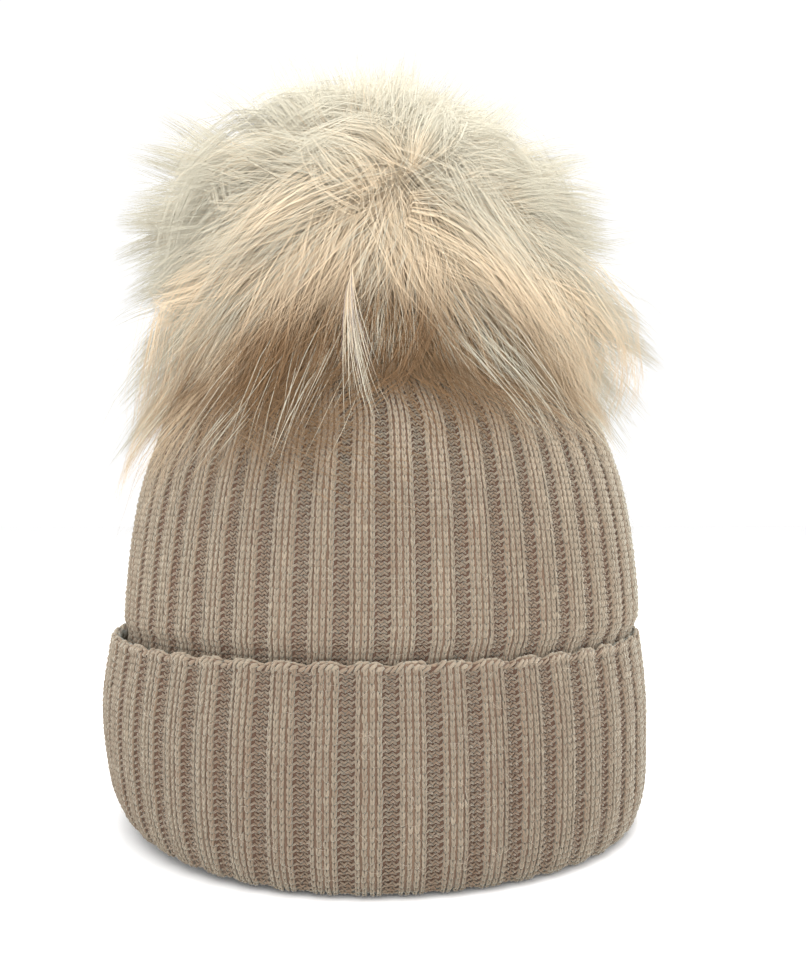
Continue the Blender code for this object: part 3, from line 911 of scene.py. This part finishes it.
def yarn(name, path, plane, radius, pitch, material, closed=False, sides=7):
    """Two plies twisted together along a path that lies in a plane with that normal."""
    column = np.arange(sides)
    after = (column + 1) % sides
    tangent = normalised(np.roll(path, -1, 0) - np.roll(path, 1, 0) if closed else np.gradient(path, axis=0))
    first = np.tile(np.array(plane, float), (len(path), 1))
    second = np.cross(tangent, first)
    steps = np.linalg.norm(np.diff(path, axis=0), axis=1)
    along = np.concatenate([[0], np.cumsum(steps)])
    total = along[-1] + (steps[0] if closed else 0)
    turns = max(1, round(total / pitch))
    angles = around(sides)
    points, quads, ends, uv = [], [], [], []
    for ply in (0, 1):
        turn = 2 * np.pi * turns * along / total + np.pi * ply
        centre = path + 0.45 * radius * (first * np.cos(turn)[:, None] + second * np.sin(turn)[:, None])
        ring = (first[:, None] * np.cos(angles)[None, :, None]
                + second[:, None] * np.sin(angles)[None, :, None])
        start = ply * len(path) * sides
        points.append((centre[:, None] + 0.55 * radius * ring).reshape(-1, 3))
        quads.append(grid_faces(len(path), sides) + start)
        last = start + (len(path) - 1) * sides
        if closed:
            quads.append(np.stack([last + column, last + after, start + after, start + column], -1))
        else:
            ends += [start + column[None, ::-1], last + column[None]]
        uv.append(np.stack(np.meshgrid(column / sides, along / total), -1).reshape(-1, 2))
    faces = [np.concatenate(part) for part in (quads, ends) if part]
    return add_mesh(name, np.concatenate(points), faces, material, np.concatenate(uv))


def ring_of_yarn(name, node, pitch, material):
    """Yarn round the ring that a node fills."""
    low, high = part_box(node)
    radius = (high.z - low.z) / 2
    path = polar(high.x - radius, around(96), (low.z + high.z) / 2)
    return yarn(name, path, (0, 0, 1), radius, pitch, material, closed=True)


def lathe(name, outline, material, columns=72, ripple=None):
    """A closed round piece: the outline runs from the axis below to the axis above."""
    outline = np.array(outline, float)
    turn = around(columns)
    radius, height = (np.repeat(outline[1:-1, k:k + 1], columns, 1) for k in (0, 1))
    if ripple is not None:
        radius, height = ripple(radius, height, turn[None])
    points = polar(radius, turn, height).reshape(-1, 3)
    low_pole = len(points)
    last = low_pole - columns
    points = np.vstack([points, [(0, 0, outline[0, 1]), (0, 0, outline[-1, 1])]])
    column = np.arange(columns)
    after = (column + 1) % columns
    fans = np.concatenate([np.stack([after, column, np.full(columns, low_pole)], -1),
                           np.stack([column + last, after + last, np.full(columns, low_pole + 1)], -1)])
    uv = points[:, :2] / (2.1 * np.abs(points[:, :2]).max()) + 0.5
    return add_mesh(name, points, [grid_faces(len(outline) - 2, columns), fans], material, uv)


def disc(name, node, material, ripple=None):
    """A disc with a rounded edge that fills a node."""
    box_low, box_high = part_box(node)
    radius, low, high = box_high.x, box_low.z, box_high.z
    half = (high - low) / 2
    edge = [(radius - half + half * math.cos(a), (low + high) / 2 + half * math.sin(a))
            for a in np.linspace(-np.pi / 2, np.pi / 2, 7)]
    spokes = radius * np.linspace(0.12, 0.9, 7)
    outline = [(0, low), *((r, low) for r in spokes), *edge, *((r, high) for r in spokes[::-1]), (0, high)]
    return lathe(name, outline, material, ripple=ripple)


def care_label(material):
    """The blank label, sewn on along its top edge, with a turned hem and a slight curl."""
    low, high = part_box("care_label")
    rows, columns = 44, 24
    x, z = np.meshgrid(np.linspace(low.x, high.x, columns), np.linspace(low.z, high.z, rows))
    hang = (high.z - z) / (high.z - low.z)
    middle = (low.y + high.y) / 2
    curl = -0.0012 * hang ** 2 * (1 + 0.5 * np.cos(np.pi * x / high.x)) + 0.0003 * np.sin(9 * hang + 60 * x)
    hem = 0.0001 * ((np.abs(hang - 0.04) < 0.03) | (np.abs(hang - 0.96) < 0.03))
    front = np.stack([x, middle + curl - 0.00016 - hem, z], -1)
    back = np.stack([x, middle + curl + 0.00016, z], -1)
    skin = grid_faces(rows, columns, wrap=False)
    size = rows * columns
    border = np.concatenate([np.arange(columns), np.arange(1, rows) * columns + columns - 1,
                             size - 2 - np.arange(columns - 1), np.arange(rows - 2, 0, -1) * columns])
    following = np.roll(border, -1)
    sides = np.stack([following, border, border + size, following + size], -1)
    uv = np.stack([(x - low.x) / (high.x - low.x), 1 - hang], -1).reshape(-1, 2)
    points = np.concatenate([front.reshape(-1, 3), back.reshape(-1, 3)])
    faces = [np.concatenate([skin, skin[:, ::-1] + size, sides])]
    return add_mesh("blank_care_label", points, faces, material, np.tile(uv, (2, 1)))


def back_seam(material):
    """The seam's twisted yarn, a little zigzag, up the inside of the back."""
    distance = np.linspace(0.004, np.interp(-0.016, -crown.line[::-1, 0][::-1], crown.along), 420)
    height = crown.height_at(distance)
    inward = -(CROWN_WALL + 0.0014) * crown.outward(distance)
    zigzag = 0.0006 * np.sin(distance * 2 * np.pi / 0.004)
    path = np.stack([crown_shift(height) + zigzag, crown.radius_at(distance) + inward[:, 0],
                     height + inward[:, 1]], -1)
    return yarn("overlocked_seam", path, (1, 0, 0), 0.0008, 0.003, material)


def label_thread(material):
    """Seven zigzags of thread along the label's top."""
    low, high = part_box("label_stitches")
    share = np.linspace(0, 1, 160)
    swing = (high.z - low.z) / 2 - 0.0003
    x = low.x + 0.0005 + (high.x - low.x - 0.001) * share
    z = (low.z + high.z) / 2 + swing * (2 / np.pi) * np.arcsin(np.sin(2 * np.pi * 7 * share))
    path = np.stack([x, np.full(len(share), (low.y + high.y) / 2), z], -1)
    return yarn("label_thread", path, (0, 1, 0), 0.00025, 0.0012, material, sides=5)


def pelt(material):
    """The pelt ball, drawn together in gathers round its mouth underneath."""
    rows, columns = 36, 120
    mouth = 0.0062
    rise = np.linspace(-np.pi / 2 + math.asin(mouth / PELT_RADIUS), np.pi / 2 - 0.05, rows)[:, None]
    turn = around(columns)[None]
    gather = 0.0007 * np.cos(17 * turn + 0.6 * np.sin(3 * turn)) * np.exp(-((rise + np.pi / 2) / 0.5) ** 2)
    lump = 0.0002 * np.sin(5 * turn + 3 * rise) * np.cos(4 * rise)

    def at(radius):
        return polar(radius * np.cos(rise), turn, PELT_CENTRE[2] + radius * np.sin(rise))

    size = PELT_RADIUS - 0.0003 + gather + lump
    uv = np.stack(np.broadcast_arrays(turn / (2 * np.pi), rise / np.pi + 0.5), -1)
    return shell("gathered_pelt", at(size), at(size - 0.001), material, uv, True)


def stuffing(material):
    """A ball of loose stuffing."""
    rows, columns = 40, 96
    rise = np.linspace(-np.pi / 2, np.pi / 2, rows)
    core_low, core_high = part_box("pom_core")
    radius = (core_high.z - core_low.z) / 2
    outline = np.stack([radius * np.cos(rise), (core_low.z + core_high.z) / 2 + radius * np.sin(rise)], -1)

    def lumps(flat, height, turn):
        up = (height - PELT_CENTRE[2]) / radius
        coarse = 0.02 * np.sin(6 * turn + 5 * up) * np.cos(7 * up + 2 * turn)
        shrink = 0.965 + coarse + 0.008 * np.sin(17 * turn - 11 * up)
        return flat * shrink, PELT_CENTRE[2] + (height - PELT_CENTRE[2]) * shrink

    return lathe("loose_stuffing", outline, material, columns, lumps)


def plain_material(name, colour, roughness, scale, relief, metallic=0.0, spread=0.15, shape="noise"):
    """A material whose colour, finish and relief vary a little in a fine pattern."""
    material, tree, shader = shader_tree(name)
    if shape == "noise":
        pattern = noise(tree, scale, 4, 0.6)
    else:
        pattern = texture(tree, "ShaderNodeTexVoronoi", "Distance", {"Scale": scale})
    dark = tuple(c * (1 - spread) for c in colour)
    set_inputs(tree, shader, {
        "Base Color": ramp(tree, pattern, [(0.2, dark), (0.8, colour)]),
        "Roughness": weighted(tree, roughness - 0.1, (noise(tree, scale * 0.4, 3), 0.2)),
        "Metallic": metallic,
        "Normal": bump(tree, pattern, 0.4, relief),
    })
    return material


# ---- building


# One yarn in three copies: the cuff's is painted about 8 % darker and the edge's about 5 % paler than the
# crown's, painted shade and painted light.
knit = yarn_material("rib_knit", (0.220, 0.177, 0.130), (0.105, 0.061, 0.042))
knit_cuff = yarn_material("cuff_knit", (0.203, 0.162, 0.119), (0.097, 0.056, 0.038))
edge_yarn = yarn_material("edge_yarn", (0.232, 0.186, 0.137), (0.110, 0.070, 0.048))
lint = fibre_material("loose_fibres", (0.50, 0.42, 0.33))
# The dark root colour is partly the fur's own and partly painted shade deep in and under the coat.
hair = hair_material("cream_fur", (0.27, 0.165, 0.086), (0.88, 0.71, 0.50), (0.66, 0.62, 0.50))
# The grey hair's near-black tip colour is painted shadow at the lower end of the front lock.
grey_hair = hair_material("grey_guard_hair", (0.75, 0.65, 0.50), (0.42, 0.35, 0.34), (0.06, 0.035, 0.028))

crown = Fabric(CROWN_OUTLINE, CROWN_RADIUS, CROWN_TOP, CROWN_RELIEF, CROWN_FRONT_RIB, leans=True)
cuff = Fabric(CUFF_OUTLINE, CUFF_RADIUS, CUFF_HEIGHT, CUFF_RELIEF, CUFF_FRONT_RIB, scallop=0.0012)
form = HatForm(crown.line)

crown_ground = ground("crown_fabric", crown, CROWN_WALL, knit)
cuff_ground = ground("cuff_fabric", cuff, CUFF_WALL, knit_cuff)
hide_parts("knit_crown")
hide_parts("knit_cuff")

crown_pieces = bands_of_stitches("crown", crown, 0.002, crown.length - 0.001, 8, knit)
crown_pieces.append(fuzz("crown_fibres", crown, 3800, 0.055, crown.length * 0.9, lint))
cuff_pieces = bands_of_stitches("cuff", cuff, 0.0, cuff.length - 0.0006, 4, knit_cuff)
cuff_pieces.append(cast_on_edge("cuff_edge", cuff, edge_yarn))
cuff_pieces.append(fuzz("cuff_fibres", cuff, 2600, 0.012, cuff.length, lint))
for pieces, body, slot in (([crown_ground, *crown_pieces], "hat", "rib_knit"),
                           ([cuff_ground, *cuff_pieces], "cuff", "cuff_knit")):
    for piece in pieces:
        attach(piece, body)

seam_yarn = plain_material("seam_yarn", (0.36, 0.28, 0.21), 0.85, 1800, 0.0001)
satin = plain_material("label_satin", (0.80, 0.78, 0.73), 0.45, 2500, 0.00003)
thread = plain_material("sewing_thread", (0.62, 0.55, 0.45), 0.60, 3000, 0.00003)
felt = plain_material("grey_felt", (0.30, 0.27, 0.24), 0.95, 1500, 0.0002, spread=0.35)
nickel = plain_material("nickel", (0.66, 0.63, 0.58), 0.25, 600, 0.000004, metallic=1.0, spread=0.08)
leather = plain_material("base_leather", (0.42, 0.30, 0.20), 0.60, 1600, 0.0001, shape="cells")
suede = plain_material("pelt_leather", (0.62, 0.50, 0.38), 0.85, 1200, 0.0001)
cotton = plain_material("cotton_stuffing", (0.85, 0.83, 0.78), 0.95, 400, 0.0006)

label = care_label(satin)
patch = disc("felt_patch", "snap_patch", felt,
             lambda radius, height, turn: (radius * (1 + 0.006 * np.sin(23 * turn)), height))
base = disc("leather_base", "pom_base_disc", leather)
pelt_ball = pelt(suede)
core = stuffing(cotton)
gather = ring_of_yarn("gathering_yarn", "crown_gather_yarn", 0.0026, seam_yarn)
tie = ring_of_yarn("pelt_tie", "pom_tie_yarn", 0.0024, thread)
for piece, node, body, slot in (
    (back_seam(seam_yarn), "back_seam_yarn", "hat", "seam_yarn"),
    (gather, "crown_gather_yarn", "hat", "seam_yarn"),
    (label, "care_label", "hat", "label_satin"),
    (label_thread(thread), "label_stitches", "hat", "sewing_thread"),
    (patch, "snap_patch", "hat", "felt"),
    (base, "pom_base_disc", "pom_base", "base_leather"),
    (pelt_ball, "pom_pelt", "pom", "pelt_leather"),
    (tie, "pom_tie_yarn", "pom", "sewing_thread"),
    (core, "pom_core", "pom", "stuffing"),
):
    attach(piece, body)
    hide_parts(node)
for node, material in (("snap_stud", nickel), ("snap_socket", nickel), ("snap_spring", nickel),
                       ("stud_stitches", thread), ("socket_stitches", thread)):
    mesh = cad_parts[node].data
    mesh.materials.clear()
    mesh.materials.append(material)

coat = fur(hair, grey_hair, form)
for piece in coat:
    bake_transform(piece)
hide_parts("pom_fur")

# ---- stage


def stage_and_camera():
    corners = [(-1, -1), (1, -1), (1, 1), (-1, 1)]
    floor_mesh = bpy.data.meshes.new("floor")
    floor_mesh.from_pydata([(4 * x, 4 * y, -0.0008) for x, y in corners], [], [(0, 1, 2, 3)])
    material, tree, shader = shader_tree("pale_floor")
    values = {"Base Color": (0.93, 0.93, 0.93, 1), "Roughness": 0.9, "Specular IOR Level": 0.1}
    set_inputs(tree, shader, values)
    floor_mesh.materials.append(material)
    add_object("floor", floor_mesh)

    world = bpy.data.worlds.new("studio")
    bpy.context.scene.world = world
    world.use_nodes = True
    tree = world.node_tree
    set_inputs(tree, tree.nodes["Background"], {"Color": (1, 1, 1, 1), "Strength": 1.05})

    for name, place, size, power in (
        ("key", (-0.30, -0.60, 1.25), 0.9, 10.0),
        ("top", (0.15, 0.10, 1.30), 1.0, 22.0),
        ("right", (1.20, 0.00, 0.20), 0.9, 3.0),
        ("left", (-1.20, 0.00, 0.20), 0.9, 3.5),
        ("front", (0.10, -1.50, 0.55), 1.0, 11.0),
    ):
        lamp = bpy.data.lights.new(name, "AREA")
        lamp.size = size
        lamp.energy = power
        light = add_object(name, lamp)
        light.location = place
        aim = Vector((0, 0, 0.12)) - Vector(place)
        light.rotation_euler = aim.to_track_quat("-Z", "Y").to_euler()

    camera_data = bpy.data.cameras.new("camera")
    camera = add_object("camera", camera_data)
    camera_data.sensor_width = 36
    camera_data.lens = 39.2
    camera.location = (0, -4.0 * CUFF_RADIUS, 0.47 * CUFF_RADIUS + CUFF_HEIGHT)
    yaw, pitch = math.radians(1.5), math.radians(1.1)
    camera.rotation_euler = (math.pi / 2 + pitch, 0, -yaw)
    camera_data.clip_start = 0.01
    bpy.context.scene.camera = camera
    bpy.context.scene.view_settings.view_transform = "Standard"


stage_and_camera()
